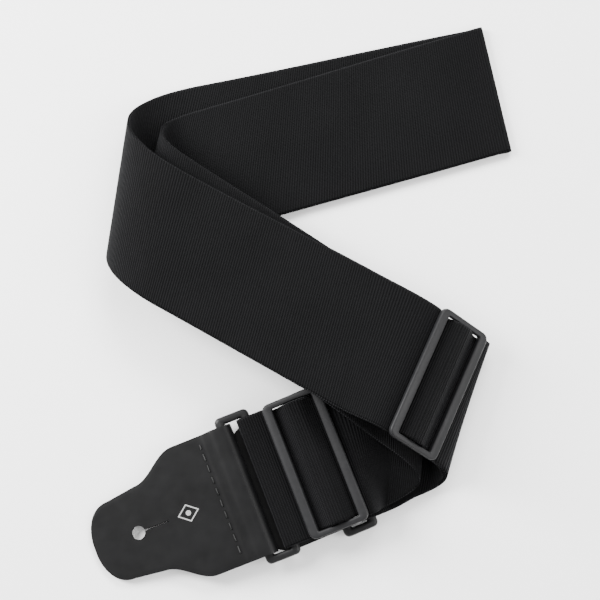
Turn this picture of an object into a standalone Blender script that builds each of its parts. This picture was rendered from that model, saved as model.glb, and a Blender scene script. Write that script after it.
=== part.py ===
"""A wide webbing guitar strap, folded in half and laid down in a loose Z.

The strap is one long length of webbing with the same hardware on both ends. On each end the
webbing runs under, over and under the bars of a tri-glide slider, turns round one bar of a loop,
and comes back as a tail that is sewn round the slider's middle bar. A leather end is sewn round
the loop's other bar.

The lie of the strap is a list of lines across it, from the leather end underneath to the one on
top. Each line runs from the near edge to the far edge. A place on the strap is then given by u
along it, v across it (towards the far edge) and w out of its front face.
"""

import math
from bisect import bisect_right

import bmesh
import bpy
from mathutils import Matrix, Vector

MM = 0.001

# Webbing
WEB_WIDTH = 76.2 * MM
WEB_THICK = 1.7 * MM
WIDTH_IN_SLIDER = 71.6 * MM
GAP = 0.35 * MM
PLY = WEB_THICK + GAP  # from the middle of one ply to the middle of the next one
COLUMNS = 6

# Slider: a moulded frame with a lower, thinner bar across its middle
SLIDER_LENGTH = 34.8 * MM  # along the strap
SLIDER_WIDTH = 79.0 * MM
SLIDER_THICK = 3.5 * MM
SLIDER_BAR = 5.5 * MM
SLIDER_SIDE = 3.4 * MM
SLIDER_CORNER = 4.0 * MM
MIDDLE_BAR = 4.4 * MM
MIDDLE_BAR_THICK = 2.0 * MM
MIDDLE_BAR_DROP = 0.65 * MM
MIDDLE_BAR_BACK = 1.1 * MM
UNDER = SLIDER_THICK / 2 + GAP + WEB_THICK / 2  # middle of the ply under a side bar

# Loop: a rectangular ring
LOOP_LENGTH = 20.0 * MM
LOOP_WIDTH = 86.0 * MM
LOOP_THICK = 4.5 * MM
LOOP_BAR = 5.2 * MM
LOOP_SIDE = 4.4 * MM
LOOP_CORNER = 3.0 * MM
LOOP_BAR_AT = (LOOP_LENGTH - LOOP_BAR) / 2  # from the middle of the loop
OVER = LOOP_THICK / 2 + GAP + WEB_THICK / 2  # middle of the ply over a loop's bar

# Leather end; lengths are from the middle of the loop's bar towards the tip
LEATHER_THICK = 2.3 * MM
LEATHER_OVER = LOOP_THICK / 2 + 0.6 * MM + LEATHER_THICK / 2
LEATHER_HALF = 37.8 * MM
LEATHER_SHOULDER = 30.0 * MM
LEATHER_WAIST_AT = 57.0 * MM
LEATHER_WAIST_HALF = 24.9 * MM
LEATHER_NOSE_AT = 74.0 * MM
LEATHER_NOSE_HALF = 22.7 * MM
LEATHER_TIP_AT = 89.8 * MM
BUTTON_HOLE_AT = 63.6 * MM
BUTTON_HOLE = 7.7 * MM
SLIT = 14.0 * MM
SLIT_WIDTH = 0.6 * MM
SEAM_AT = 14.2 * MM
SEAM_HALF = 30.6 * MM
FLAP_END_AT = 19.2 * MM

# Thread
THREAD = 0.7 * MM
STITCH = 3.4 * MM
STITCH_HOLE = 1.2 * MM


# Where the two sliders and the lower loop lie, in mm, and how the strap passes them
TOP_SLIDER = (8.2, -94.0, 19.0)
TOP_HEADING = 201.3
TOP_SLOPE = -9.5
SIDE_SLIDER = (76.3, -51.8, 28.0)
SIDE_HEADING = 151.0
SIDE_SLOPE = 31.0
SIDE_BANK = -9.0
LOW_HEADING = 22.5


def line(near, far, heading, slope=0.0, pull=None):
    """A line across the strap in mm, the way the strap leaves it, and how far the bend after it
    is pulled out at the near and the far edge."""
    level = math.cos(math.radians(slope))
    way = Vector((math.cos(math.radians(heading)), math.sin(math.radians(heading)), 0)) * level
    way.z = math.sin(math.radians(slope))
    return Vector(near) * MM, Vector(far) * MM, way, pull


def square(x, y, z, heading, slope=0.0, bank=0.0, ahead=0.0, back=0.0, pull=None):
    """A line across the strap from its middle. A bank raises the far edge, ahead moves it on,
    and back moves the line off the front."""
    near, far, way, pull = line((x, y, z), (x, y, z), heading, slope, pull)
    across = way.cross(Vector((0, 0, 1))).normalized()
    across = across if across.y > 0 else -across
    up = across.cross(way)
    up = up if up.z > 0 else -up
    across = across * math.cos(math.radians(bank)) + up * math.sin(math.radians(bank))
    half = across * WEB_WIDTH / 2 + way * ahead * MM
    off = across.cross(way) * back * MM
    return near - half - off, far + half - off, way, pull


def beside_slider(centre, heading, slope, bank, at, pull=None):
    """A line under a slider, at mm along the strap from the slider's middle."""
    way = line((0, 0, 0), (0, 0, 0), heading, slope)[2]
    x, y, z = Vector(centre) + way * at
    return square(x, y, z, heading, slope, bank, back=UNDER / MM, pull=pull)


SIDE = (SIDE_SLIDER, SIDE_HEADING, SIDE_SLOPE, SIDE_BANK)
TOP = (TOP_SLIDER, TOP_HEADING, TOP_SLOPE, 0.0)
LIE = [
    square(19.0, -91.5, 1.4, LOW_HEADING),
    square(25.26, -88.9, 1.4, LOW_HEADING),
    square(37.5, -83.9, 0.9, LOW_HEADING),
    line((66.0, -111.9, 0.9), (82.0, -24.0, 0.9), LOW_HEADING, pull=(18.0, 13.0)),
    beside_slider(*SIDE, -18.5),
    beside_slider(*SIDE, 18.5),
    square(31.0, -28.2, 36.5, 151.0, bank=-2.0, ahead=9.0),
    line((-80.0, -8.6, 31.0), (-60.0, 65.0, 31.0), 151.0, pull=(45.0, 58.0)),
    line((-75.0, 45.8, 0.9), (-56.0, 128.0, 0.9), 11.3),
    line((121.2, 87.0, 0.9), (105.4, 162.4, 0.9), 11.3, pull=(1.5, 1.5)),
    line((121.2, 87.0, 3.1), (105.4, 162.4, 3.1), 196.3),
    line((-80.0, 29.0, 3.1), (-62.0, 111.0, 3.1), 196.5, pull=(27.0, 26.0)),
    line((-78.0, 2.0, 24.0), (-62.0, 77.0, 24.0), -34.0),
    line((20.0, -66.0, 25.6), (24.0, 20.0, 25.6), -34.5, -3.0),
    line((46.0, -84.0, 15.5), (50.0, 2.0, 15.5), -34.5, -3.0, pull=(30.0, 30.0)),
    line((47.4, -118.0, 9.0), (59.6, -29.8, 6.2), 206.0, 4.0),
    beside_slider(*TOP, -18.5),
    beside_slider(*TOP, 18.5),
    square(-16.96, -103.81, 12.6, TOP_HEADING, -1.5),
    square(-31.0, -109.3, 12.35, TOP_HEADING, -1.5),
]
LOW_BAR, SIDE_IN, SIDE_OUT, TOP_IN, TOP_OUT, TOP_BAR = 1, 4, 5, 16, 17, 18
BEND_STEPS = 32


def bend(a, b, way_a, way_b, pull, t):
    """A point on the smooth curve from a to b."""
    reach = (b - a).length / 3 if pull is None else pull * MM
    p = a + way_a * reach
    q = b - way_b * reach
    s = 1 - t
    return a * s**3 + p * (3 * s * s * t) + q * (3 * s * t * t) + b * t**3


class Lie:
    """Where every place on the strap is."""

    def __init__(self, lines):
        self.edges = [lines[0][:2]]
        self.marks = [0]
        for here, there in zip(lines, lines[1:]):
            pulls = here[3] or (None, None)
            for i in range(1, BEND_STEPS + 1):
                t = i / BEND_STEPS
                near = bend(here[0], there[0], here[2], there[2], pulls[0], t)
                far = bend(here[1], there[1], here[2], there[2], pulls[1], t)
                self.edges.append((near, far))
            self.marks.append(len(self.edges) - 1)
        self.along()

    def along(self):
        middles = [(near + far) / 2 for near, far in self.edges]
        self.u = [0.0]
        for a, b in zip(middles, middles[1:]):
            self.u.append(self.u[-1] + (b - a).length)
        last = len(middles) - 1
        self.fronts = []
        for i, (near, far) in enumerate(self.edges):
            way = middles[min(i + 1, last)] - middles[max(i - 1, 0)]
            self.fronts.append((far - near).cross(way).normalized())

    def mark(self, i):
        return self.u[self.marks[i]]

    def place(self, u, w, v):
        i = min(max(bisect_right(self.u, u) - 1, 0), len(self.u) - 2)
        t = (u - self.u[i]) / (self.u[i + 1] - self.u[i])
        near = self.edges[i][0].lerp(self.edges[i + 1][0], t)
        far = self.edges[i][1].lerp(self.edges[i + 1][1], t)
        front = self.fronts[i].lerp(self.fronts[i + 1], t).normalized()
        return near.lerp(far, v / WEB_WIDTH + 0.5) + front * w

    def frame(self, u, w, side):
        """A frame on the strap whose x axis runs along it (or back, for side -1), z to the
        front."""
        x = (self.place(u + MM, 0, 0) - self.place(u - MM, 0, 0)).normalized() * side
        z = (self.place(u, MM, 0) - self.place(u, 0, 0)).normalized()
        y = z.cross(x).normalized()
        z = x.cross(y)
        frame = Matrix((x, y, z)).transposed().to_4x4()
        frame.translation = self.place(u, w, 0)
        return frame

    def stops(self, start, end):
        """Places from start to end, close together where the strap bends."""
        out = [start]
        at = bisect_right(self.u, start)
        front = self.fronts[at]
        while at < len(self.u) and self.u[at] < end - 1.5 * MM:
            turned = front.angle(self.fronts[at])
            if turned > math.radians(11) or self.u[at] - out[-1] > 12 * MM:
                out.append(self.u[at])
                front = self.fronts[at]
            at += 1
        return out + [end]


def ease(x, start, end):
    """0 before start, 1 after end, smooth between them."""
    t = min(max((x - start) / (end - start), 0.0), 1.0)
    return (1 - math.cos(math.pi * t)) / 2


def arc(centre, radius, start, end, steps):
    out = []
    for i in range(steps + 1):
        a = math.radians(start + (end - start) * i / steps)
        out.append((centre[0] + radius * math.cos(a), centre[1] + radius * math.sin(a)))
    return out


# The strap at one end, in mm: x from the slider's middle towards the loop, w as above
HUMP_TOP = 6.55
TAIL_TOP = 4.5
TAIL_W = -PLY / MM
TAIL_AT_LOOP = -2 * OVER / MM


def main_w(x):
    """The main ply rises over the middle bar and the tail."""
    return HUMP_TOP * (1 - ease(abs(x + 0.6), 1.5, 11.6))


def tail_w(x, bar):
    """The tail comes back from under the loop's bar and rises over the middle bar."""
    down = (TAIL_AT_LOOP - TAIL_W) * ease(x, bar - 13.0, bar - 2.5)
    return TAIL_W + (TAIL_TOP - TAIL_W) * (1 - ease(x, 0.1, 9.7)) + down


def flap_w(x):
    """After the middle bar it ends as a flap under itself."""
    return 0.1 - 4.3 * ease(x, -1.0, 8.3)


def end_path(bar, run):
    """From over the loop's bar, round it, back as the tail and round the middle bar.

    bar is where the loop's bar is, and run gives the places between the loop and the slider."""
    path = arc((bar + 1.25, -OVER / MM), OVER / MM, 90, -90, 10)
    close = [bar - 1.5 * i for i in range(1, 10) if bar - 1.5 * i > 11]
    path += [(x, tail_w(x, bar)) for x in close + [x for x in run if 11 < x < bar - 15]]
    path += [(x, tail_w(x, bar)) for x in (9.7, 8.3, 7.0, 5.7, 4.4, 3.1, 1.7, 0.1)]
    path += arc((-2.3, 2.3), 2.2, 90, 270, 6)
    path += [(x, flap_w(x)) for x in (-0.5, 1.5, 3.2, 4.9, 6.6, 8.3, 12.0, 15.0)]
    return path


def strap_path(lie):
    """The middle of the webbing from end to end, as (u, w)."""
    side = (lie.mark(SIDE_IN) + lie.mark(SIDE_OUT)) / 2
    top = (lie.mark(TOP_IN) + lie.mark(TOP_OUT)) / 2
    low_bar = (side - lie.mark(LOW_BAR)) / MM
    top_bar = (lie.mark(TOP_BAR) - top) / MM
    low_run = [(side - u) / MM for u in lie.stops(lie.mark(LOW_BAR), side - 13 * MM)]
    top_run = [(u - top) / MM for u in lie.stops(top + 13 * MM, lie.mark(TOP_BAR))]
    low_end = end_path(low_bar, low_run)
    top_end = end_path(top_bar, top_run[::-1])
    path = [(side - x * MM, w * MM) for x, w in low_end[::-1]]
    path += [(side - x * MM, 0.0) for x in low_run[1:-1] if x < low_bar - 3]
    path += [(side - x * MM, main_w(x) * MM) for x in HUMP]
    path += [(u, 0.0) for u in lie.stops(side + 14 * MM, top - 14 * MM)]
    path += [(top + x * MM, main_w(x) * MM) for x in HUMP[::-1]]
    path += [(top + x * MM, 0.0) for x in top_run[1:-1] if x < top_bar - 3]
    path += [(top + x * MM, w * MM) for x, w in top_end]
    return path, side, top


HUMP = [12.6 - 1.26 * i for i in range(21)]


def band(path, halves, thick, place):
    """A closed strip of even thickness. path is (x, w) of its middle, halves its half widths."""
    bm = bmesh.new()
    rings = []
    last = len(path) - 1
    for i, (x, w) in enumerate(path):
        ax, aw = path[max(i - 1, 0)]
        bx, bw = path[min(i + 1, last)]
        out = Vector((aw - bw, bx - ax)).normalized() * thick / 2
        ring = []
        for side, columns in ((1, range(COLUMNS + 1)), (-1, range(COLUMNS, -1, -1))):
            for c in columns:
                v = halves[i] * (2 * c / COLUMNS - 1)
                ring.append(bm.verts.new(place(x + out.x * side, w + out.y * side, v)))
        rings.append(ring)
    count = len(rings[0])
    for a, b in zip(rings, rings[1:]):
        for k in range(count):
            bm.faces.new((a[k], a[(k + 1) % count], b[(k + 1) % count], b[k]))
    for ring in (rings[0], rings[-1]):
        for c in range(COLUMNS):
            bm.faces.new((ring[c], ring[c + 1], ring[count - 2 - c], ring[count - 1 - c]))
    bmesh.ops.recalc_face_normals(bm, faces=bm.faces)
    return bm


def rounded_rectangle(length, width, corner, segments):
    """Points round a rectangle whose length is along x."""
    points = []
    for sx, sy, start in ((1, 1, 0), (-1, 1, 90), (-1, -1, 180), (1, -1, 270)):
        centre = (sx * (length / 2 - corner), sy * (width / 2 - corner))
        points += arc(centre, corner, start, start + 90, segments)
    return points


def ring(length, width, corner, bar, side, thick):
    """A flat rectangular ring, lying across z = 0."""
    bm = bmesh.new()
    outer = rounded_rectangle(length, width, corner, 4)
    inner = rounded_rectangle(length - 2 * bar, width - 2 * side, 0.8 * MM, 4)
    loops = []
    for points, z in ((outer, -1), (outer, 1), (inner, 1), (inner, -1)):
        loops.append([bm.verts.new((x, y, z * thick / 2)) for x, y in points])
    count = len(outer)
    for a, b in zip(loops, loops[1:] + loops[:1]):
        for k in range(count):
            bm.faces.new((a[k], a[(k + 1) % count], b[(k + 1) % count], b[k]))
    bmesh.ops.recalc_face_normals(bm, faces=bm.faces)
    return bm


def add(name, bm, collection):
    mesh = bpy.data.meshes.new(name)
    bm.to_mesh(mesh)
    bm.free()
    thing = bpy.data.objects.new(name, mesh)
    collection.objects.link(thing)
    return thing


def bevel(thing, width, segments, angle=35.0):
    modifier = thing.modifiers.new("rounded edges", "BEVEL")
    modifier.width = width
    modifier.segments = segments
    modifier.limit_method = "ANGLE"
    modifier.angle_limit = math.radians(angle)


def boolean(thing, other, operation):
    modifier = thing.modifiers.new(operation.lower(), "BOOLEAN")
    modifier.operation = operation
    modifier.solver = "EXACT"
    modifier.object = other


def material(thing, colour, roughness):
    made = bpy.data.materials.new(thing.name)
    made.use_nodes = True
    shader = made.node_tree.nodes["Principled BSDF"]
    shader.inputs["Base Color"].default_value = (*colour, 1)
    shader.inputs["Roughness"].default_value = roughness
    thing.data.materials.append(made)


def slider(name, frame):
    bm = ring(SLIDER_LENGTH, SLIDER_WIDTH, SLIDER_CORNER, SLIDER_BAR, SLIDER_SIDE, SLIDER_THICK)
    frame_part = add(name, bm, parts)
    bevel(frame_part, 1.0 * MM, 3)
    bar = bmesh.new()
    half = SLIDER_WIDTH / 2 - SLIDER_SIDE / 2
    outline = rounded_rectangle(MIDDLE_BAR, MIDDLE_BAR_THICK, MIDDLE_BAR_THICK / 2.02, 4)
    ends = []
    for y in (-half, half):
        ends.append([bar.verts.new((x - MIDDLE_BAR_BACK, y, z - MIDDLE_BAR_DROP)) for x, z in outline])
    bar.faces.new(ends[0])
    bar.faces.new(ends[1])
    for k in range(len(outline)):
        n = (k + 1) % len(outline)
        bar.faces.new((ends[0][k], ends[0][n], ends[1][n], ends[1][k]))
    bmesh.ops.recalc_face_normals(bar, faces=bar.faces)
    joined = add(name + " middle bar", bar, cutters)
    boolean(frame_part, joined, "UNION")
    frame_part.matrix_world = frame
    joined.matrix_world = frame
    material(frame_part, (0.03, 0.03, 0.03), 0.6)
    return frame_part


def loop(name, frame):
    bm = ring(LOOP_LENGTH, LOOP_WIDTH, LOOP_CORNER, LOOP_BAR, LOOP_SIDE, LOOP_THICK)
    thing = add(name, bm, parts)
    bevel(thing, 1.8 * MM, 3)
    thing.matrix_world = frame
    material(thing, (0.02, 0.02, 0.02), 0.45)
    return thing


def tab_half(x):
    if x > LEATHER_NOSE_AT:
        t = (x - LEATHER_NOSE_AT) / (LEATHER_TIP_AT - LEATHER_NOSE_AT)
        return LEATHER_NOSE_HALF * (1 - t**2.2) ** (1 / 2.2)
    if x > LEATHER_WAIST_AT:
        t = (x - LEATHER_WAIST_AT) / (LEATHER_NOSE_AT - LEATHER_WAIST_AT)
        return LEATHER_WAIST_HALF + (LEATHER_NOSE_HALF - LEATHER_WAIST_HALF) * t
    narrowing = ease(x, LEATHER_SHOULDER, LEATHER_WAIST_AT)
    return LEATHER_HALF - (LEATHER_HALF - LEATHER_WAIST_HALF) * narrowing


def leather_path(lean):
    """From the flap's end round the loop's bar to the tip. A lean moves the sewn layers."""
    over = LEATHER_OVER / MM
    half = LEATHER_THICK / MM / 2 + 0.12
    flap = lean - half
    tab = lean + half
    xs = [4.3 + 8.3 * i / 7 for i in range(8)]
    path = [(FLAP_END_AT / MM, flap), (15.8, flap)]
    path += [(x, -over + (flap + over) * ease(x, 4.3, 12.6)) for x in xs[::-1]]
    path += arc((-0.6, 0), over, -90, -270, 10)
    path += [(x, over + (tab - over) * ease(x, 4.3, 12.6)) for x in xs]
    path += [(x, tab) for x in (15.8, 22, 30, 33, 36, 39, 42, 45, 48, 51, 54, 57, 65, 74)]
    path += [(74 + 15.8 * math.sin(math.radians(a)), tab) for a in (14, 27, 39, 50, 60, 69, 76, 82)]
    return [(x * MM, w * MM) for x, w in path]


LEATHER_CUTS = (" button hole", " slit", " stitch holes")


def leather(name, frame, lean):
    path = leather_path(lean)
    turn = path.index(min(path))
    halves = [LEATHER_HALF if i < turn else tab_half(x) for i, (x, w) in enumerate(path)]
    bm = band(path, halves, LEATHER_THICK, lambda x, w, v: Vector((x, v, w)))
    thing = add(name, bm, parts)
    cut = bmesh.new()
    drill(cut, BUTTON_HOLE_AT, 0, BUTTON_HOLE, 24)
    boolean(thing, add(name + " button hole", cut, cutters), "DIFFERENCE")
    cut = bmesh.new()
    slit = Matrix.Translation((BUTTON_HOLE_AT - SLIT / 2 - BUTTON_HOLE / 2, 0, 0))
    size = Matrix.Diagonal((SLIT + 1 * MM, SLIT_WIDTH, 30 * MM, 1))
    bmesh.ops.create_cube(cut, size=1, matrix=slit @ size)
    boolean(thing, add(name + " slit", cut, cutters), "DIFFERENCE")
    cut = bmesh.new()
    for v in stitches():
        drill(cut, SEAM_AT, v, STITCH_HOLE, 6)
    boolean(thing, add(name + " stitch holes", cut, cutters), "DIFFERENCE")
    for part in (thing, *[cutters.objects[name + end] for end in LEATHER_CUTS]):
        part.matrix_world = frame
    material(thing, (0.015, 0.015, 0.015), 0.4)
    return thing


def drill(bm, x, y, diameter, sides):
    where = Matrix.Translation((x, y, 0))
    radius = diameter / 2
    bmesh.ops.create_cone(
        bm, cap_ends=True, segments=sides, radius1=radius, radius2=radius, depth=30 * MM, matrix=where
    )


def stitches():
    count = int(2 * SEAM_HALF / STITCH) + 1
    return [(i - (count - 1) / 2) * STITCH for i in range(count)]


def thread(name, frame, lean):
    """A running stitch through both layers of the leather."""
    out = LEATHER_THICK + 0.12 * MM + THREAD / 2 + 0.15 * MM
    points = []
    side = 1
    for v in stitches():
        points.append((SEAM_AT, v, lean * MM + side * out))
        side = -side
        points.append((SEAM_AT, v, lean * MM + side * out))
    first = points[0]
    last = points[-1]
    points = [(first[0], first[1] - 2.2 * MM, first[2])] + points
    points = points + [(last[0], last[1] + 2.2 * MM, last[2])]
    thing = add(name, tube(points, THREAD / 2), parts)
    thing.matrix_world = frame
    material(thing, (0.03, 0.03, 0.03), 0.7)
    return thing


def tube(points, radius):
    """A six-sided tube through points that lie in one plane across x."""
    bm = bmesh.new()
    rings = []
    last = len(points) - 1
    for i, point in enumerate(points):
        here = Vector(point)
        into = (here - Vector(points[max(i - 1, 0)])).normalized()
        onto = (Vector(points[min(i + 1, last)]) - here).normalized()
        into = into if i else onto
        onto = onto if i < last else into
        side = (into + onto).normalized().cross(Vector((1, 0, 0)))
        reach = radius / max(math.sqrt((1 + into.dot(onto)) / 2), 0.5)
        ring = []
        for k in range(6):
            a = math.radians(60 * k)
            ring.append(bm.verts.new(here + side * reach * math.cos(a) + Vector((radius * math.sin(a), 0, 0))))
        rings.append(ring)
    for a, b in zip(rings, rings[1:]):
        for k in range(6):
            bm.faces.new((a[k], a[(k + 1) % 6], b[(k + 1) % 6], b[k]))
    bm.faces.new(rings[0])
    bm.faces.new(rings[-1])
    bmesh.ops.recalc_face_normals(bm, faces=bm.faces)
    return bm


def half_width(path, middles):
    """The webbing is squeezed to fit between a slider's sides."""
    full = WEB_WIDTH / 2
    squeezed = WIDTH_IN_SLIDER / 2
    halves = []
    for u, w in path:
        near = min(abs(u - m) for m in middles)
        halves.append(squeezed + (full - squeezed) * ease(near, 12.8 * MM, 24 * MM))
    return halves


def pitched(frame, degrees):
    """The frame with its x axis turned down towards its back."""
    return frame @ Matrix.Rotation(math.radians(degrees), 4, "Y")


for old in list(bpy.data.objects):
    bpy.data.objects.remove(old)
parts = bpy.data.collections.new("guitar_strap")
cutters = bpy.data.collections.new("cutters")
for group in (parts, cutters):
    bpy.context.scene.collection.children.link(group)

lie = Lie(LIE)
path, side_at, top_at = strap_path(lie)
bm = band(path, half_width(path, (side_at, top_at)), WEB_THICK, lie.place)
webbing = add("main_webbing", bm, parts)
material(webbing, (0.02, 0.02, 0.022), 0.8)

slider("slider_1", lie.frame(top_at, UNDER, 1))
slider("slider_2", lie.frame(side_at, UNDER, -1))
for number, bar, side, pitch, lean in ((1, TOP_BAR, 1, 4.8, 0.0), (2, LOW_BAR, -1, 0.0, 2.28)):
    at_bar = lie.frame(lie.mark(bar), -OVER, side)
    loop(f"loop_{number}", at_bar @ Matrix.Translation((LOOP_BAR_AT, 0, 0)))
    at_leather = pitched(at_bar @ Matrix.Translation((2 * LOOP_BAR_AT, 0, 0)), pitch)
    leather(f"leather_end_{number}", at_leather, lean)
    thread(f"leather_thread_{number}", at_leather, lean)

for thing in cutters.objects:
    thing.hide_render = True
    thing.display_type = "WIRE"

bpy.context.view_layer.update()
corners = [t.matrix_world @ v.co for t in parts.objects for v in t.data.vertices]
lows = [min(c[i] for c in corners) for i in range(3)]
highs = [max(c[i] for c in corners) for i in range(3)]
shift = Vector((-(lows[0] + highs[0]) / 2, -(lows[1] + highs[1]) / 2, -lows[2]))
for thing in list(parts.objects) + list(cutters.objects):
    thing.matrix_world = Matrix.Translation(shift) @ thing.matrix_world
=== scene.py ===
"""The looks of a webbing guitar strap that lies folded in a loose Z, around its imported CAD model.

The webbing is made again, much finer, from the same lines across the strap as in part.py, in
millimetres: u runs along it, v across it and w out of its front face.
"""

import math
from bisect import bisect_right

import bmesh
import bpy
from mathutils import Matrix, Vector


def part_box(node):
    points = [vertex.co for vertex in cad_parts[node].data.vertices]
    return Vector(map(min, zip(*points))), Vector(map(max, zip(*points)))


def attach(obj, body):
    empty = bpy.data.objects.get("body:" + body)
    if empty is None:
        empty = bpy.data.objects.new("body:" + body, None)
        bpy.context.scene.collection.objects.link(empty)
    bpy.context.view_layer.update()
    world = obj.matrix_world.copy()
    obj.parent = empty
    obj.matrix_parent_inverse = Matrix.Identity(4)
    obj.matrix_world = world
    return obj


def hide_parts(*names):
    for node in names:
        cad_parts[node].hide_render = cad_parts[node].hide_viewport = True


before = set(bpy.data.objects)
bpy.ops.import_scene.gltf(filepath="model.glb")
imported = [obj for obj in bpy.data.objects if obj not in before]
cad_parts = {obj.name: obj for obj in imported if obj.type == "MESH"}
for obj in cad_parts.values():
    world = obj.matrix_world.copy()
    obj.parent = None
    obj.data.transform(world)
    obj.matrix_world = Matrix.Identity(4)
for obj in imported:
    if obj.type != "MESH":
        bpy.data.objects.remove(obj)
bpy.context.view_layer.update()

MM = 0.001
# Webbing
WEB_WIDTH = 76.2 * MM
WEB_THICK = 1.7 * MM
WIDTH_IN_SLIDER = 71.6 * MM
GAP = 0.35 * MM
PLY = WEB_THICK + GAP  # from the middle of one ply to the middle of the next one

# Slider
SLIDER_THICK = 3.5 * MM
UNDER = SLIDER_THICK / 2 + GAP + WEB_THICK / 2  # middle of the ply under a side bar

# Loop
LOOP_LENGTH = 20.0 * MM
LOOP_THICK = 4.5 * MM
LOOP_BAR = 5.2 * MM
LOOP_BAR_AT = (LOOP_LENGTH - LOOP_BAR) / 2  # from the middle of the loop
OVER = LOOP_THICK / 2 + GAP + WEB_THICK / 2  # middle of the ply over a loop's bar

# Leather end; lengths are from the middle of the loop's bar towards the tip
LEATHER_THICK = 2.3 * MM
LAYER_GAP = 0.12  # in mm, from the middle between the sewn layers to each layer
LEATHER_OVER = LOOP_THICK / 2 + 0.6 * MM + LEATHER_THICK / 2
LEATHER_HALF = 37.8 * MM
LEATHER_SHOULDER = 30.0 * MM
LEATHER_WAIST_AT = 57.0 * MM
LEATHER_WAIST_HALF = 24.9 * MM
LEATHER_NOSE_AT = 74.0 * MM
LEATHER_NOSE_HALF = 22.7 * MM
LEATHER_TIP_AT = 89.8 * MM
BUTTON_HOLE_AT = 63.6 * MM
BUTTON_HOLE = 7.7 * MM
SLIT = 14.0 * MM
SLIT_WIDTH = 0.6 * MM
SEAM_AT = 14.2 * MM
SEAM_HALF = 30.6 * MM
FLAP_END_AT = 19.2 * MM

# Seam
STITCH = 3.4 * MM
STITCH_HOLE = 1.2 * MM

# Where the two sliders and the lower loop lie, in mm, and how the strap passes them
TOP_SLIDER = (8.2, -94.0, 19.0)
TOP_HEADING = 201.3
TOP_SLOPE = -9.5
SIDE_SLIDER = (76.3, -51.8, 28.0)
SIDE_HEADING = 151.0
SIDE_SLOPE = 31.0
SIDE_BANK = -9.0
LOW_HEADING = 22.5


def line(near, far, heading, slope=0.0, pull=None):
    """A line across the strap in mm, the way the strap leaves it, and how far the bend after it
    is pulled out at the near and the far edge."""
    level = math.cos(math.radians(slope))
    way = Vector((math.cos(math.radians(heading)), math.sin(math.radians(heading)), 0)) * level
    way.z = math.sin(math.radians(slope))
    return Vector(near) * MM, Vector(far) * MM, way, pull


def square(x, y, z, heading, slope=0.0, bank=0.0, ahead=0.0, back=0.0, pull=None):
    """A line across the strap from its middle. A bank raises the far edge, ahead moves it on,
    and back moves the line off the front."""
    near, far, way, pull = line((x, y, z), (x, y, z), heading, slope, pull)
    across = way.cross(Vector((0, 0, 1))).normalized()
    across = across if across.y > 0 else -across
    up = across.cross(way)
    up = up if up.z > 0 else -up
    across = across * math.cos(math.radians(bank)) + up * math.sin(math.radians(bank))
    half = across * WEB_WIDTH / 2 + way * ahead * MM
    off = across.cross(way) * back * MM
    return near - half - off, far + half - off, way, pull


def beside_slider(centre, heading, slope, bank, at, pull=None):
    """A line under a slider, at mm along the strap from the slider's middle."""
    way = line((0, 0, 0), (0, 0, 0), heading, slope)[2]
    x, y, z = Vector(centre) + way * at
    return square(x, y, z, heading, slope, bank, back=UNDER / MM, pull=pull)


SIDE = (SIDE_SLIDER, SIDE_HEADING, SIDE_SLOPE, SIDE_BANK)
TOP = (TOP_SLIDER, TOP_HEADING, TOP_SLOPE, 0.0)
LIE = [
    square(19.0, -91.5, 1.4, LOW_HEADING),
    square(25.26, -88.9, 1.4, LOW_HEADING),
    square(37.5, -83.9, 0.9, LOW_HEADING),
    line((66.0, -111.9, 0.9), (82.0, -24.0, 0.9), LOW_HEADING, pull=(18.0, 13.0)),
    beside_slider(*SIDE, -18.5),
    beside_slider(*SIDE, 18.5),
    square(31.0, -28.2, 36.5, 151.0, bank=-2.0, ahead=9.0),
    line((-80.0, -8.6, 31.0), (-60.0, 65.0, 31.0), 151.0, pull=(45.0, 58.0)),
    line((-75.0, 45.8, 0.9), (-56.0, 128.0, 0.9), 11.3),
    line((121.2, 87.0, 0.9), (105.4, 162.4, 0.9), 11.3, pull=(1.5, 1.5)),
    line((121.2, 87.0, 3.1), (105.4, 162.4, 3.1), 196.3),
    line((-80.0, 29.0, 3.1), (-62.0, 111.0, 3.1), 196.5, pull=(27.0, 26.0)),
    line((-78.0, 2.0, 24.0), (-62.0, 77.0, 24.0), -34.0),
    line((20.0, -66.0, 25.6), (24.0, 20.0, 25.6), -34.5, -3.0),
    line((46.0, -84.0, 15.5), (50.0, 2.0, 15.5), -34.5, -3.0, pull=(30.0, 30.0)),
    line((47.4, -118.0, 9.0), (59.6, -29.8, 6.2), 206.0, 4.0),
    beside_slider(*TOP, -18.5),
    beside_slider(*TOP, 18.5),
    square(-16.96, -103.81, 12.6, TOP_HEADING, -1.5),
    square(-31.0, -109.3, 12.35, TOP_HEADING, -1.5),
]
LOW_BAR, SIDE_IN, SIDE_OUT, TOP_IN, TOP_OUT, TOP_BAR = 1, 4, 5, 16, 17, 18
BEND_STEPS = 64


def bend(a, b, way_a, way_b, pull, t):
    """A point on the smooth curve from a to b."""
    reach = (b - a).length / 3 if pull is None else pull * MM
    p = a + way_a * reach
    q = b - way_b * reach
    s = 1 - t
    return a * s**3 + p * (3 * s * s * t) + q * (3 * s * t * t) + b * t**3


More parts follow.
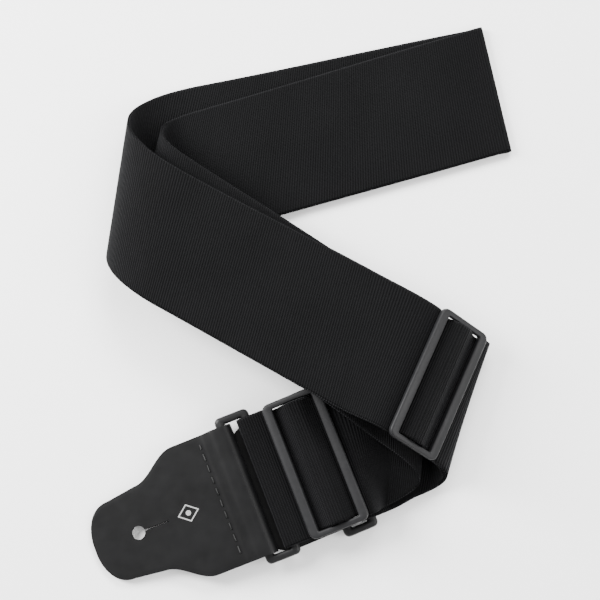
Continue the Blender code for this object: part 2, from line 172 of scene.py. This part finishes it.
class Lie:
    """Where every place on the strap is."""

    def __init__(self, lines):
        self.edges = [lines[0][:2]]
        self.marks = [0]
        for here, there in zip(lines, lines[1:]):
            pulls = here[3] or (None, None)
            for i in range(1, BEND_STEPS + 1):
                t = i / BEND_STEPS
                near = bend(here[0], there[0], here[2], there[2], pulls[0], t)
                far = bend(here[1], there[1], here[2], there[2], pulls[1], t)
                self.edges.append((near, far))
            self.marks.append(len(self.edges) - 1)
        self.along()

    def along(self):
        middles = [(near + far) / 2 for near, far in self.edges]
        self.u = [0.0]
        for a, b in zip(middles, middles[1:]):
            self.u.append(self.u[-1] + (b - a).length)
        last = len(middles) - 1
        self.fronts = []
        for i, (near, far) in enumerate(self.edges):
            way = middles[min(i + 1, last)] - middles[max(i - 1, 0)]
            self.fronts.append((far - near).cross(way).normalized())

    def mark(self, i):
        return self.u[self.marks[i]]

    def place(self, u, w, v):
        i = min(max(bisect_right(self.u, u) - 1, 0), len(self.u) - 2)
        t = (u - self.u[i]) / (self.u[i + 1] - self.u[i])
        near = self.edges[i][0].lerp(self.edges[i + 1][0], t)
        far = self.edges[i][1].lerp(self.edges[i + 1][1], t)
        front = self.fronts[i].lerp(self.fronts[i + 1], t).normalized()
        return near.lerp(far, v / WEB_WIDTH + 0.5) + front * w

    def frame(self, u, w, side):
        """A frame on the strap whose x axis runs along it (or back, for side -1), z to the
        front."""
        x = (self.place(u + MM, 0, 0) - self.place(u - MM, 0, 0)).normalized() * side
        z = (self.place(u, MM, 0) - self.place(u, 0, 0)).normalized()
        y = z.cross(x).normalized()
        z = x.cross(y)
        placed = Matrix((x, y, z)).transposed().to_4x4()
        placed.translation = self.place(u, w, 0)
        return placed

    def stops(self, start, end):
        """Places from start to end, close together where the strap bends."""
        out = [start]
        at = bisect_right(self.u, start)
        front = self.fronts[at]
        while at < len(self.u) and self.u[at] < end - 1.5 * MM:
            turned = front.angle(self.fronts[at])
            if turned > math.radians(3) or self.u[at] - out[-1] > 2 * MM:
                out.append(self.u[at])
                front = self.fronts[at]
            at += 1
        return out + [end]


def ease(x, start, end):
    """0 before start, 1 after end, smooth between them."""
    t = min(max((x - start) / (end - start), 0.0), 1.0)
    return (1 - math.cos(math.pi * t)) / 2


def arc(centre, radius, start, end, steps):
    out = []
    for i in range(steps + 1):
        a = math.radians(start + (end - start) * i / steps)
        out.append((centre[0] + radius * math.cos(a), centre[1] + radius * math.sin(a)))
    return out


# The strap at one end, in mm: x from the slider's middle towards the loop, w as above
HUMP_TOP = 6.55
HUMP = [12.6 - 0.63 * i for i in range(41)]  # places on the main ply over the middle bar
TAIL_TOP = 4.5
TAIL_W = -PLY / MM
TAIL_AT_LOOP = -2 * OVER / MM


def main_w(x):
    """The main ply rises over the middle bar and the tail."""
    return HUMP_TOP * (1 - ease(abs(x + 0.6), 1.5, 11.6))


def tail_w(x, bar):
    """The tail comes back from under the loop's bar and rises over the middle bar."""
    down = (TAIL_AT_LOOP - TAIL_W) * ease(x, bar - 13.0, bar - 2.5)
    return TAIL_W + (TAIL_TOP - TAIL_W) * (1 - ease(x, 0.1, 9.7)) + down


def flap_w(x):
    """After the middle bar it ends as a flap under itself."""
    return 0.1 - 4.3 * ease(x, -1.0, 8.3)


def end_path(bar, run):
    """From over the loop's bar, round it, back as the tail and round the middle bar.

    bar is where the loop's bar is, and run gives the places between the loop and the slider."""
    path = arc((bar + 1.25, -OVER / MM), OVER / MM, 90, -90, 10)
    close = [bar - 1.5 * i for i in range(1, 10) if bar - 1.5 * i > 11]
    path += [(x, tail_w(x, bar)) for x in close + [x for x in run if 11 < x < bar - 15]]
    path += [(x, tail_w(x, bar)) for x in (9.7, 8.3, 7.0, 5.7, 4.4, 3.1, 1.7, 0.1)]
    path += arc((-2.3, 2.3), 2.2, 90, 270, 6)
    path += [(x, flap_w(x)) for x in (-0.5, 1.5, 3.2, 4.9, 6.6, 8.3, 12.0, 15.0)]
    return path


def strap_path(lie):
    """The middle of the webbing from end to end, as (u, w)."""
    side = (lie.mark(SIDE_IN) + lie.mark(SIDE_OUT)) / 2
    top = (lie.mark(TOP_IN) + lie.mark(TOP_OUT)) / 2
    low_bar = (side - lie.mark(LOW_BAR)) / MM
    top_bar = (lie.mark(TOP_BAR) - top) / MM
    low_run = [(side - u) / MM for u in lie.stops(lie.mark(LOW_BAR), side - 13 * MM)]
    top_run = [(u - top) / MM for u in lie.stops(top + 13 * MM, lie.mark(TOP_BAR))]
    low_end = end_path(low_bar, low_run)
    top_end = end_path(top_bar, top_run[::-1])
    path = [(side - x * MM, w * MM) for x, w in low_end[::-1]]
    path += [(side - x * MM, 0.0) for x in low_run[1:-1] if x < low_bar - 3]
    path += [(side - x * MM, main_w(x) * MM) for x in HUMP]
    path += [(u, 0.0) for u in lie.stops(side + 14 * MM, top - 14 * MM)]
    path += [(top + x * MM, main_w(x) * MM) for x in HUMP[::-1]]
    path += [(top + x * MM, 0.0) for x in top_run[1:-1] if x < top_bar - 3]
    path += [(top + x * MM, w * MM) for x, w in top_end]
    return path, side, top


def tab_half(x):
    if x > LEATHER_NOSE_AT:
        t = (x - LEATHER_NOSE_AT) / (LEATHER_TIP_AT - LEATHER_NOSE_AT)
        return LEATHER_NOSE_HALF * (1 - t**2.2) ** (1 / 2.2)
    if x > LEATHER_WAIST_AT:
        t = (x - LEATHER_WAIST_AT) / (LEATHER_NOSE_AT - LEATHER_WAIST_AT)
        return LEATHER_WAIST_HALF + (LEATHER_NOSE_HALF - LEATHER_WAIST_HALF) * t
    narrowing = ease(x, LEATHER_SHOULDER, LEATHER_WAIST_AT)
    return LEATHER_HALF - (LEATHER_HALF - LEATHER_WAIST_HALF) * narrowing


def leather_path(lean):
    """From the flap's end round the loop's bar to the tip. A lean moves the sewn layers."""
    over = LEATHER_OVER / MM
    half = LEATHER_THICK / MM / 2 + LAYER_GAP
    flap = lean - half
    tab = lean + half
    xs = [4.3 + 8.3 * i / 7 for i in range(8)]
    path = [(FLAP_END_AT / MM, flap), (15.8, flap)]
    path += [(x, -over + (flap + over) * ease(x, 4.3, 12.6)) for x in xs[::-1]]
    path += arc((-0.6, 0), over, -90, -270, 10)
    path += [(x, over + (tab - over) * ease(x, 4.3, 12.6)) for x in xs]
    path += [(x, tab) for x in (15.8, 22, 30, 33, 36, 39, 42, 45, 48, 51, 54, 57, 65, 74)]
    path += [(74 + 15.8 * math.sin(math.radians(a)), tab) for a in (14, 27, 39, 50, 60, 69, 76, 82)]
    return [(x * MM, w * MM) for x, w in path]


def half_width(path, middles):
    """The webbing is squeezed to fit between a slider's sides."""
    full = WEB_WIDTH / 2
    squeezed = WIDTH_IN_SLIDER / 2
    halves = []
    for u, w in path:
        near = min(abs(u - m) for m in middles)
        halves.append(squeezed + (full - squeezed) * ease(near, 10.8 * MM, 18 * MM))
    return halves


# Looks
RIB = 1.45 * MM
ENDS = 0.9 * MM  # from one thread along the webbing to the next one
ZIGZAG = 0.13 * MM  # how far the ribs wave the webbing's edge
WEB_EDGE = 1.3 * MM
WEB_COLUMNS = 22
LEATHER_EDGE = 0.55 * MM
LEATHER_COLUMNS = 24
LEATHER_STEP = 1.6 * MM
EDGE_STEPS = 4  # points round a quarter of a rounded edge
UV_SCALE = 10  # UV units in a metre
CUT_DEPTH = 30 * MM  # taller than the leather
WELD = 0.01 * MM
MARK_AT = 33.5 * MM
MARK_OUTER = 6.4 * MM
MARK_INNER = 5.3 * MM
MARK_DOT = 1.5 * MM
MARK_LIFT = 0.06 * MM  # clear of the leather's face
QUARTERS = [math.pi / 2 * k for k in range(4)]
ROUND = [math.pi / 8 * k for k in range(16)]

# Camera
CAMERA_ELEVATION = 80
CAMERA_DISTANCE = 0.9
CAMERA_LENS = 94.2


def outline(columns, edge):
    """The cross-section of a strip with rounded edges, as (share of half width, share of half
    thickness, how far in from the edge)."""
    turn = [math.sin(math.pi / 2 * i / EDGE_STEPS) for i in range(EDGE_STEPS)]
    right = [(1, -edge * (1 - t), t) for t in turn]
    flat = [(1 - (k + 0.5) / columns * 2, 0.0, 1.0) for k in range(columns)]
    left = [(-1, edge * (1 - t), t) for t in reversed(turn)]
    top = right + flat + left
    bottom = [(s, d, -t) for s, d, t in reversed(top[1:-1])]
    return top + bottom


def strip(name, path, halves, thick, place, columns, edge, zigzag=0.0):
    """A fine strip with rounded edges and a UV along and across it."""
    section = outline(columns, edge)
    verts = []
    along = 0.0
    lengths = []
    last = len(path) - 1
    for i, (x, w) in enumerate(path):
        ax, aw = path[max(i - 1, 0)]
        bx, bw = path[min(i + 1, last)]
        if i:
            along += math.hypot(x - ax, w - aw)
        lengths.append(along)
        out = Vector((aw - bw, bx - ax)).normalized() * thick / 2
        wave = zigzag if i % 2 else -zigzag
        for side, inward, depth in section:
            near_edge = max(0.0, 1 - abs(depth)) if abs(side) == 1 else 0.0
            v = side * halves[i] + inward + side * wave * near_edge
            verts.append(place(x + out.x * depth, w + out.y * depth, v))
    count = len(section)
    faces = []
    for i in range(last):
        for k in range(count):
            n = (k + 1) % count
            faces.append((i * count + k, i * count + n, (i + 1) * count + n, (i + 1) * count + k))
    faces.append(tuple(range(count)))
    faces.append(tuple(last * count + k for k in range(count)))
    mesh = bpy.data.meshes.new(name)
    mesh.from_pydata(verts, [], faces)
    layer = mesh.uv_layers.new(name="strip")
    for face in mesh.polygons:
        for loop in face.loop_indices:
            index = mesh.loops[loop].vertex_index
            side, inward, depth = section[index % count]
            i = index // count
            v = side * halves[i] + inward
            back = 2.0 if depth < 0 else 0.0
            layer.data[loop].uv = (lengths[i] * UV_SCALE, v * UV_SCALE + back)
    bm = bmesh.new()
    bm.from_mesh(mesh)
    bmesh.ops.recalc_face_normals(bm, faces=bm.faces)
    bm.to_mesh(mesh)
    bm.free()
    mesh.shade_smooth()
    thing = bpy.data.objects.new(name, mesh)
    bpy.context.scene.collection.objects.link(thing)
    return thing


def finer(path, step):
    """The path with a point at least every step."""
    out = [path[0]]
    for (ax, aw), (bx, bw) in zip(path, path[1:]):
        parts = max(1, math.ceil(math.hypot(bx - ax, bw - aw) / step))
        for i in range(1, parts + 1):
            t = i / parts
            out.append((ax + (bx - ax) * t, aw + (bw - aw) * t))
    return out


def nodes_of(material):
    material.use_nodes = True
    tree = material.node_tree
    return tree, tree.nodes["Principled BSDF"]


def node(tree, kind, **settings):
    made = tree.nodes.new(kind)
    for key, value in settings.items():
        setattr(made, key, value)
    return made


def math_node(tree, operation, a, b=0.5):
    made = node(tree, "ShaderNodeMath", operation=operation)
    for socket, value in zip(made.inputs, (a, b)):
        if isinstance(value, (int, float)):
            socket.default_value = value
        else:
            tree.links.new(value, socket)
    return made.outputs[0]


def scaled(tree, value, factor):
    return math_node(tree, "MULTIPLY", value, factor)


def added(tree, a, b):
    return math_node(tree, "ADD", a, b)


def noise(tree, scale, detail, rough=0.5):
    made = node(tree, "ShaderNodeTexNoise")
    made.inputs["Scale"].default_value = scale
    made.inputs["Detail"].default_value = detail
    made.inputs["Roughness"].default_value = rough
    coords = node(tree, "ShaderNodeTexCoord").outputs["Object"]
    tree.links.new(coords, made.inputs["Vector"])
    return made.outputs["Fac"]


def ramp(tree, fac, stops):
    made = node(tree, "ShaderNodeValToRGB")
    ends = made.color_ramp.elements
    for i, (at, colour) in enumerate(stops):
        stop = ends[i] if i < 2 else ends.new(at)
        stop.position = at
        stop.color = (*colour, 1) if isinstance(colour, tuple) else (colour, colour, colour, 1)
    tree.links.new(fac, made.inputs["Fac"])
    return made.outputs["Color"]


def bump(tree, height, strength, distance, under=None):
    made = node(tree, "ShaderNodeBump")
    made.inputs["Strength"].default_value = strength
    made.inputs["Distance"].default_value = distance
    tree.links.new(height, made.inputs["Height"])
    if under is not None:
        tree.links.new(under, made.inputs["Normal"])
    return made.outputs["Normal"]


def webbing_material():
    """Ribbed black webbing: ribs across it, threads along it, and a little fuzz."""
    material = bpy.data.materials.new("webbing")
    tree, shader = nodes_of(material)
    uv = node(tree, "ShaderNodeUVMap", uv_map="strip")
    split = node(tree, "ShaderNodeSeparateXYZ")
    tree.links.new(uv.outputs[0], split.inputs[0])
    u, v = split.outputs[0], split.outputs[1]
    rib = math_node(tree, "SINE", scaled(tree, u, 2 * math.pi / (RIB * UV_SCALE)))
    end = math_node(tree, "SINE", scaled(tree, v, 2 * math.pi / (ENDS * UV_SCALE)))
    weave = added(tree, scaled(tree, rib, 0.75), scaled(tree, end, 0.25))
    fuzz = noise(tree, 900, 4)
    height = added(tree, weave, scaled(tree, fuzz, 0.9))
    broad = noise(tree, 26, 3)
    soft = bump(tree, broad, 0.25, 2 * MM)
    tree.links.new(bump(tree, height, 0.8, 0.3 * MM, soft), shader.inputs["Normal"])
    tone = added(tree, scaled(tree, weave, 0.3), scaled(tree, fuzz, 0.45))
    tone = added(tree, tone, scaled(tree, broad, 0.4))
    colour = ramp(tree, tone, [(0.1, (0.0003, 0.0003, 0.0004)), (0.85, (0.0044, 0.0044, 0.0048))])
    tree.links.new(colour, shader.inputs["Base Color"])
    shader.inputs["Roughness"].default_value = 0.72
    shader.inputs["Specular IOR Level"].default_value = 0.055
    shader.inputs["Sheen Weight"].default_value = 0.03
    shader.inputs["Sheen Roughness"].default_value = 0.45
    shader.inputs["Sheen Tint"].default_value = (0.75, 0.75, 0.8, 1)
    return material


def leather_material():
    """Smooth black leather with a fine pore grain and a soft gloss."""
    material = bpy.data.materials.new("leather")
    tree, shader = nodes_of(material)
    coords = node(tree, "ShaderNodeTexCoord").outputs["Object"]
    cells = node(tree, "ShaderNodeTexVoronoi", feature="DISTANCE_TO_EDGE")
    cells.inputs["Scale"].default_value = 1500
    tree.links.new(coords, cells.inputs["Vector"])
    fine = noise(tree, 2200, 3)
    broad = noise(tree, 60, 4)
    grain = added(tree, cells.outputs["Distance"], scaled(tree, fine, 0.4))
    soft = bump(tree, broad, 0.22, 0.8 * MM)
    tree.links.new(bump(tree, grain, 0.25, 0.08 * MM, soft), shader.inputs["Normal"])
    colour = ramp(tree, broad, [(0.3, (0.0015, 0.0015, 0.0016)), (0.75, (0.0035, 0.0035, 0.0038))])
    tree.links.new(colour, shader.inputs["Base Color"])
    rough = ramp(tree, noise(tree, 140, 4), [(0.3, 0.36), (0.8, 0.46)])
    tree.links.new(rough, shader.inputs["Roughness"])
    shader.inputs["Specular IOR Level"].default_value = 0.17
    return material


def plastic_material(name, roughness, grain, strength, colour):
    """Moulded black plastic: fine or coarse grain, with a little variation in its gloss."""
    material = bpy.data.materials.new(name)
    tree, shader = nodes_of(material)
    texture = noise(tree, grain, 3, rough=0.6)
    tree.links.new(bump(tree, texture, strength, 0.1 * MM), shader.inputs["Normal"])
    shade = ramp(tree, noise(tree, grain * 0.5, 4), [(0.3, tuple(c * 0.7 for c in colour)), (0.75, colour)])
    tree.links.new(shade, shader.inputs["Base Color"])
    rough = ramp(tree, noise(tree, 90, 4), [(0.3, roughness - 0.05), (0.8, roughness + 0.07)])
    tree.links.new(rough, shader.inputs["Roughness"])
    shader.inputs["Specular IOR Level"].default_value = 0.2
    return material


def thread_material():
    """Twisted black sewing thread."""
    material = bpy.data.materials.new("thread")
    tree, shader = nodes_of(material)
    twist = noise(tree, 1800, 2)
    tree.links.new(bump(tree, twist, 0.6, 0.15 * MM), shader.inputs["Normal"])
    colour = ramp(tree, twist, [(0.3, (0.004, 0.004, 0.004)), (0.8, (0.012, 0.012, 0.012))])
    tree.links.new(colour, shader.inputs["Base Color"])
    shader.inputs["Roughness"].default_value = 0.7
    return material


def dress(thing, material):
    thing.data.materials.clear()
    thing.data.materials.append(material)
    return thing


def smooth_copy(cad, name, material, body):
    """A smooth-shaded copy of a CAD node that stands for it."""
    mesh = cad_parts[cad].data.copy()
    mesh.name = name
    bm = bmesh.new()
    bm.from_mesh(mesh)
    bmesh.ops.remove_doubles(bm, verts=bm.verts, dist=WELD)
    bmesh.ops.dissolve_limit(bm, angle_limit=math.radians(1), verts=bm.verts, edges=bm.edges)
    bm.to_mesh(mesh)
    bm.free()
    mesh.shade_smooth()
    mesh.set_sharp_from_angle(angle=math.radians(38))
    thing = bpy.data.objects.new(name, mesh)
    bpy.context.scene.collection.objects.link(thing)
    dress(thing, material)
    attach(thing, body)
    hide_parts(cad)
    return thing


def place_flat(x, w, v):
    return Vector((x, v, w))


def leather_piece(number, frame_matrix, lean, material, body):
    """A finer leather end, with its button hole, slit and stitch holes cut."""
    path = finer(leather_path(lean), LEATHER_STEP)
    turn = path.index(min(path))
    halves = [LEATHER_HALF if i < turn else tab_half(x) for i, (x, w) in enumerate(path)]
    name = f"leather_{number}"
    thing = strip(name, path, halves, LEATHER_THICK, place_flat, LEATHER_COLUMNS, LEATHER_EDGE)
    cutters = [drill_cutter([(BUTTON_HOLE_AT, 0)], BUTTON_HOLE, sides=48)]
    bm = bmesh.new()
    slit = Matrix.Translation((BUTTON_HOLE_AT - SLIT / 2 - BUTTON_HOLE / 2, 0, 0))
    bmesh.ops.create_cube(bm, size=1, matrix=slit @ Matrix.Diagonal((SLIT + MM, SLIT_WIDTH, CUT_DEPTH, 1)))
    cutters.append(cutter_object(bm))
    cutters.append(drill_cutter([(SEAM_AT, v) for v in stitches()], STITCH_HOLE, sides=10))
    for cutter in cutters:
        modifier = thing.modifiers.new("cut", "BOOLEAN")
        modifier.operation = "DIFFERENCE"
        modifier.object = cutter
    bpy.context.view_layer.update()
    seen = bpy.context.evaluated_depsgraph_get()
    mesh = bpy.data.meshes.new_from_object(thing.evaluated_get(seen))
    thing.modifiers.clear()
    thing.data = mesh
    for cutter in cutters:
        bpy.data.objects.remove(cutter)
    mesh.shade_smooth()
    mesh.set_sharp_from_angle(angle=math.radians(40))
    mesh.transform(frame_matrix)
    dress(thing, material)
    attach(thing, body)
    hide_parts(f"leather_end_{number}")
    return thing


def cutter_object(bm):
    mesh = bpy.data.meshes.new("cutter")
    bm.to_mesh(mesh)
    bm.free()
    thing = bpy.data.objects.new("cutter", mesh)
    bpy.context.scene.collection.objects.link(thing)
    return thing


def drill_cutter(places, diameter, sides):
    bm = bmesh.new()
    for x, y in places:
        bmesh.ops.create_cone(
            bm,
            cap_ends=True,
            segments=sides,
            radius1=diameter / 2,
            radius2=diameter / 2,
            depth=CUT_DEPTH,
            matrix=Matrix.Translation((x, y, 0)),
        )
    return cutter_object(bm)


def stitches():
    count = int(2 * SEAM_HALF / STITCH) + 1
    return [(i - (count - 1) / 2) * STITCH for i in range(count)]


def mark(frame_matrix, lean, body):
    """A small plain lozenge with a dot, printed in grey on the leather."""
    up = lean * MM + LAYER_GAP * MM + LEATHER_THICK + MARK_LIFT
    bm = bmesh.new()
    centre = Vector((MARK_AT, 0, up))
    rings = []
    for radius in (MARK_OUTER, MARK_INNER):
        corners = [Vector((radius * math.cos(a), radius * 0.8 * math.sin(a), 0)) for a in QUARTERS]
        rings.append([bm.verts.new(centre + c) for c in corners])
    for k in range(4):
        n = (k + 1) % 4
        bm.faces.new((rings[0][k], rings[0][n], rings[1][n], rings[1][k]))
    around = [Vector((MARK_DOT * math.cos(a), MARK_DOT * math.sin(a), 0)) for a in ROUND]
    bm.faces.new([bm.verts.new(centre + c) for c in around])
    mesh = bpy.data.meshes.new("printed_mark")
    bm.to_mesh(mesh)
    bm.free()
    mesh.transform(frame_matrix)
    thing = bpy.data.objects.new("printed_mark", mesh)
    bpy.context.scene.collection.objects.link(thing)
    material = bpy.data.materials.new("printed_mark")
    tree, shader = nodes_of(material)
    colour = ramp(tree, noise(tree, 1200, 2), [(0.3, (0.2, 0.2, 0.2)), (0.8, (0.33, 0.33, 0.33))])
    tree.links.new(colour, shader.inputs["Base Color"])
    shader.inputs["Roughness"].default_value = 0.4
    dress(thing, material)
    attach(thing, body)


def area_light(name, place, size, power):
    """A white light that points at the origin."""
    data = bpy.data.lights.new(name, "AREA")
    data.shape = "RECTANGLE"
    data.size, data.size_y = size
    data.energy = power
    light = bpy.data.objects.new(name, data)
    light.location = place
    light.rotation_euler = (-Vector(place)).to_track_quat("-Z", "Y").to_euler()
    bpy.context.scene.collection.objects.link(light)


lie = Lie(LIE)
raw_path, side_at, top_at = strap_path(lie)
path = finer(raw_path, RIB / 2)
lowest_ply = 0.9 * MM - WEB_THICK / 2  # the underside of the lowest webbing, in the lie's own frame
floor_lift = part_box("main_webbing")[0].z - lowest_ply
SHIFT = Vector((-3.21 * MM, -2.38 * MM, floor_lift))  # from the lie's own frame to the part's


def place_on_strap(u, w, v):
    return lie.place(u, w, v) + SHIFT


halves = half_width(path, (side_at, top_at))
webbing = strip("webbing", path, halves, WEB_THICK, place_on_strap, WEB_COLUMNS, WEB_EDGE, ZIGZAG)
dress(webbing, webbing_material())
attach(webbing, "strap")
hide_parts("main_webbing")

hide = leather_material()
# A pitch in degrees tips a whole leather end down, and a lean in mm moves its sewn layers
for number, bar, side, pitch, lean, body in (
    (1, TOP_BAR, 1, 4.8, 0.0, "leather_1"),
    (2, LOW_BAR, -1, 0.0, 2.28, "strap"),
):
    at_bar = lie.frame(lie.mark(bar), -OVER, side)
    turned = Matrix.Rotation(math.radians(pitch), 4, "Y")
    at_leather = Matrix.Translation(SHIFT) @ at_bar @ Matrix.Translation((2 * LOOP_BAR_AT, 0, 0)) @ turned
    leather_piece(number, at_leather, lean, hide, body)
    if number == 1:
        mark(at_leather, lean, body)

satin = plastic_material("slider_satin", 0.46, 1500, 0.25, (0.009, 0.009, 0.0098))
grainy = plastic_material("slider_grain", 0.5, 900, 0.5, (0.010, 0.010, 0.0108))
smooth = plastic_material("loop_smooth", 0.42, 1800, 0.12, (0.006, 0.006, 0.0064))
smooth_copy("slider_1", "slider_top", grainy, "slider_1")
smooth_copy("slider_2", "slider_side", satin, "slider_2")
smooth_copy("loop_1", "loop_top", smooth, "loop_1")
smooth_copy("loop_2", "loop_low", smooth, "strap")
thread = thread_material()
smooth_copy("leather_thread_1", "seam_top", thread, "leather_1")
smooth_copy("leather_thread_2", "seam_low", thread, "strap")

bpy.ops.mesh.primitive_plane_add(size=6, location=(0, 0, -0.0002))
floor = bpy.context.object
floor.name = "floor"
paper = bpy.data.materials.new("paper")
tree, shader = nodes_of(paper)
shade = ramp(tree, noise(tree, 3, 2), [(0.2, (0.97, 0.97, 0.97)), (0.8, (0.985, 0.985, 0.985))])
tree.links.new(shade, shader.inputs["Base Color"])
shader.inputs["Roughness"].default_value = 0.9
shader.inputs["Specular IOR Level"].default_value = 0.1
dress(floor, paper)

world = bpy.data.worlds.new("studio")
world.use_nodes = True
background = world.node_tree.nodes["Background"]
background.inputs["Color"].default_value = (1, 1, 1, 1)
background.inputs["Strength"].default_value = 1.25
bpy.context.scene.world = world
area_light("key", (-0.9, 0.35, 0.62), (0.4, 0.8), 42)
area_light("top", (0.25, 1.1, 0.95), (1.0, 0.5), 36)
area_light("fill", (0.9, -0.2, 0.8), (0.6, 0.8), 12)

camera_data = bpy.data.cameras.new("camera")
camera_data.lens = CAMERA_LENS
camera_data.sensor_width = 36
camera_data.clip_start = 0.01
camera = bpy.data.objects.new("camera", camera_data)
bpy.context.scene.collection.objects.link(camera)
tilt = math.radians(CAMERA_ELEVATION)
camera.location = SHIFT + Vector((0, -math.cos(tilt), math.sin(tilt))) * CAMERA_DISTANCE
camera.rotation_euler = (math.radians(90 - CAMERA_ELEVATION), 0, 0)
bpy.context.scene.camera = camera
